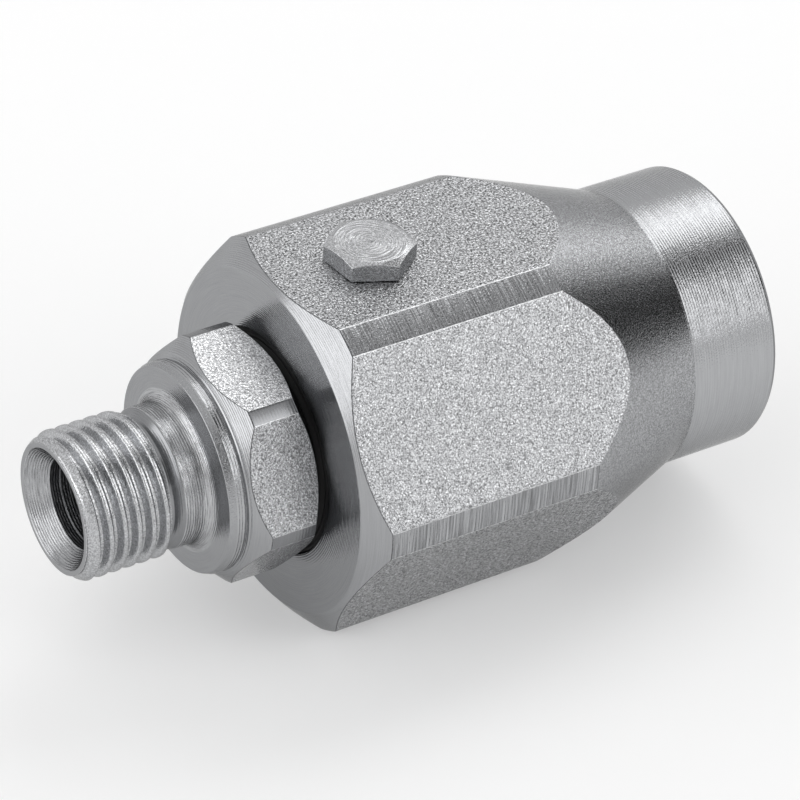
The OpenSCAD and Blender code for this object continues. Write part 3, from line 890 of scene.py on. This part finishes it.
finish_of = {
    # Moulded rubber: black and dull, so the seal reads as a dark line.
    "black_rubber": mottled("nitrile_rubber_moulded", "#161617", 0.72, 0.25),
    # Turned PTFE: milky white, half matt.
    "white_ptfe": mottled("ptfe_machined", "#ECEAE2", 0.45, 0.3),
    # Sintered bronze: warm and porous.
    "bronze": mottled("bronze_sintered", "#A98550", 0.42, 0.2, metallic=1.0),
    # Polished bearing steel: nearly a mirror.
    "ball_steel": mottled("ball_steel_polished", "#C8C9CB", 0.08, 0.5, metallic=1.0,
                          depth_mm=0.0002),
}
kept = [part for part in frame["record"]["subparts"] if part["material_slot"] in finish_of]
for part in kept:
    slots = frame["nodes"][part["node"]].data.materials
    slots.clear()
    slots.append(finish_of[part["material_slot"]])
print("finishes given to", len(kept), "CAD pieces")

# %% [markdown]
# ## The studio
#
# Bright metal shows what stands around it, so the room is part of the finish. The floor is a sheet of
# white paper. It could be made white by strong lamps, but they would bleach the steel too. So rays
# from the camera, and those that metal mirrors or glass passes on, see a share of plain white light
# in the paper, and all other light falls on it as usual, which keeps the shadow.

# %% Floor
def stage_plane(name, corners, material):
    """A four-cornered sheet that belongs to the studio and not to the object."""
    mesh = bpy.data.meshes.new(name)
    mesh.from_pydata(corners, [], [(0, 1, 2, 3)])
    mesh.materials.append(material)
    sheet = bpy.data.objects.new(name, mesh)
    bpy.context.scene.collection.objects.link(sheet)
    return sheet


def dull(name, tone):
    """A matt grey material for the studio: `tone` is its linear grey."""
    material = bpy.data.materials.new(name)
    material.use_nodes = True
    shader = material.node_tree.nodes["Principled BSDF"]
    shader.inputs["Base Color"].default_value = (tone, tone, tone, 1.0)
    shader.inputs["Roughness"].default_value = 0.9
    return material, material.node_tree, shader


floor_half, paper_tone, white_share = 3, 0.97, 0.26
paper, tree, shader = dull("floor_paper", paper_tone)
shader.inputs["Specular IOR Level"].default_value = 0.0
seen = add(tree, "ShaderNodeLightPath")
mirrored = add(tree, "ShaderNodeMath", {"operation": "MAXIMUM"},
               {0: seen.outputs["Is Glossy Ray"], 1: seen.outputs["Is Transmission Ray"]})
direct = add(tree, "ShaderNodeMath", {"operation": "MAXIMUM"},
             {0: seen.outputs["Is Camera Ray"], 1: mirrored.outputs[0]})
share = add(tree, "ShaderNodeMath", {"operation": "MULTIPLY", 1: white_share},
            {0: direct.outputs[0]})
glow = add(tree, "ShaderNodeEmission", {"Color": (1.0, 1.0, 1.0, 1.0), "Strength": 1.0})
mixed = add(tree, "ShaderNodeMixShader", None,
            {0: share.outputs[0], 1: shader.outputs[0], 2: glow.outputs[0]})
tree.links.new(mixed.outputs[0], tree.nodes["Material Output"].inputs["Surface"])
floor_corners = [(x * floor_half, y * floor_half, floor_z * MM)
                 for x, y in ((-1, -1), (1, -1), (1, 1), (-1, 1))]
floor = stage_plane("studio_floor", floor_corners, paper)
print("floor at", round(floor_z, 2), "mm, under the lowest flat")

# %% [markdown]
# Three soft boxes light the part: one behind it, one to the right and one to the left. A soft box is
# a large lamp behind cloth, which an area lamp is by nature, and on bright metal its outline is the
# highlight. So their places and widths were chosen by what each flat mirrors: the box behind lights
# the top flat and the cone, the right one the flat that faces the camera, and the left one the stud
# and the plug. They are sized for a part of 65 mm that is seen from 36 cm.

# %% Lights
centre = np.array([-0.030, 0.0, 0.0])


def direction(az_deg, el_deg):
    """Unit vector towards an azimuth (0 is -Y, 90 is +X) and an elevation."""
    az, el = math.radians(az_deg), math.radians(el_deg)
    return np.array([math.sin(az) * math.cos(el), -math.cos(az) * math.cos(el), math.sin(el)])


def soft_box(name, az_deg, el_deg, away, width, height, radiance, lean_deg=0.0):
    """An area lamp that faces the part. Its power is radiance times pi times its area."""
    lamp = bpy.data.lights.new(name, "AREA")
    lamp.shape = "RECTANGLE"
    lamp.size, lamp.size_y = width, height
    lamp.energy = radiance * math.pi * width * height
    holder = bpy.data.objects.new(name, lamp)
    place = centre + away * direction(az_deg, el_deg)
    facing = Vector(place - centre).to_track_quat("Z", "Y").to_matrix()
    facing = facing @ Matrix.Rotation(math.radians(-lean_deg), 3, "Z")
    holder.matrix_world = Matrix.Translation(Vector(place)) @ facing.to_4x4()
    bpy.context.scene.collection.objects.link(holder)
    print(name, "power", round(lamp.energy, 2), "W")
    return holder


soft_box("box_behind", 118, 48, 0.9, 0.44, 0.80, 1.65, lean_deg=38)
soft_box("box_right", 35, 32, 0.9, 0.46, 0.72, 1.41)
soft_box("box_left", -98, 20, 0.9, 0.95, 0.56, 1.65)

# %% [markdown]
# Metal also needs something dark to mirror, or it looks like plaster. A black card between two of the
# boxes gives the dark band on the cone, and a grey one round the place of the camera darkens what
# faces it. The camera doesn't see the cards, and they throw no shadow.

# %% Cards
def card(name, az_deg, el_deg, away, width, height, tone, top_width=None):
    """A dark card that faces the part, `width` wide at its foot and `top_width` wide at its top."""
    look = direction(az_deg, el_deg)
    middle = centre + away * look
    side = np.cross(look, [0, 0, 1.0])
    side /= np.linalg.norm(side)
    up = np.cross(side, look)
    top_width = top_width or width
    ends = ((-width, -height), (width, -height), (top_width, height), (-top_width, height))
    corners = [middle + side * w / 2 + up * h / 2 for w, h in ends]
    sheet = stage_plane(name, [tuple(c) for c in corners], dull(name, tone)[0])
    sheet.visible_camera = False
    sheet.visible_shadow = False
    print(name, "at azimuth", az_deg, "and elevation", el_deg)
    return sheet


card("card_between", 76, 36, 1.0, 0.66, 1.48, 0.02, top_width=0.32)
card("card_round_camera", -22, 42, 0.8, 0.50, 0.70, 0.17)

# %% [markdown]
# The rest of the room is an even light grey, which lights the shadows. The Standard view shows each
# colour as it is written, with no film curve over it.

# %% Room and view
room_grey = 0.82
world = bpy.data.worlds.new("grey_room")
world.use_nodes = True
room = world.node_tree.nodes["Background"]
room.inputs["Color"].default_value = (room_grey, room_grey, room_grey, 1.0)
room.inputs["Strength"].default_value = 1.0
bpy.context.scene.world = world
bpy.context.scene.view_settings.view_transform = "Standard"
print("view transform:", bpy.context.scene.view_settings.view_transform)
